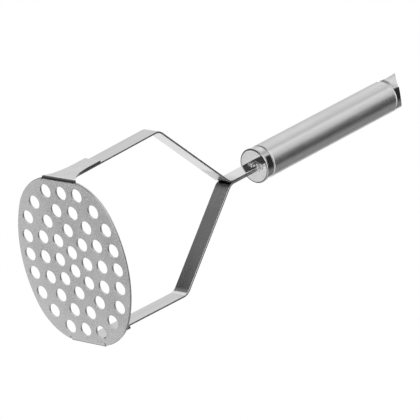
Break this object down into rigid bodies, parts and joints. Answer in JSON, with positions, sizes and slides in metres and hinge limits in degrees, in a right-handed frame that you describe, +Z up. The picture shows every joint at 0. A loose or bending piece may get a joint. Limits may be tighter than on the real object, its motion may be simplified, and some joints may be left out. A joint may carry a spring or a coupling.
{
  "type": "potato masher",
  "caption": "All-steel potato masher: perforated oval plate with turned-up tabs, two bent flat straps meeting in a tongue, and a round tubular handle with a slanted, scooped end.",
  "frame": {"origin": "middle of the mashing plate's underside, which the masher stands on", "axes": "+Z up the handle, X from arm to arm, Y across the 11 mm straps; the slanted end of the handle faces -Y and its scoop is on the -X side"},
  "size_m": [0.1002, 0.0826, 0.2954],
  "materials": {
    "plate_steel": "fine brushed",
    "strap_steel": "drawn, half bright",
    "satin_steel": "satin, brushed along the handle",
    "polished_steel": "mirror polished",
    "weld_metal": "as welded"
  },
  "bodies": {
    "root": {"mashing_plate": "plate_steel", "left_arm": "strap_steel", "right_arm": "strap_steel", "ferrule": "polished_steel", "ferrule_weld": "weld_metal", "handle_tube": "satin_steel", "end_cap": "polished_steel"}
  },
  "joints": []
}
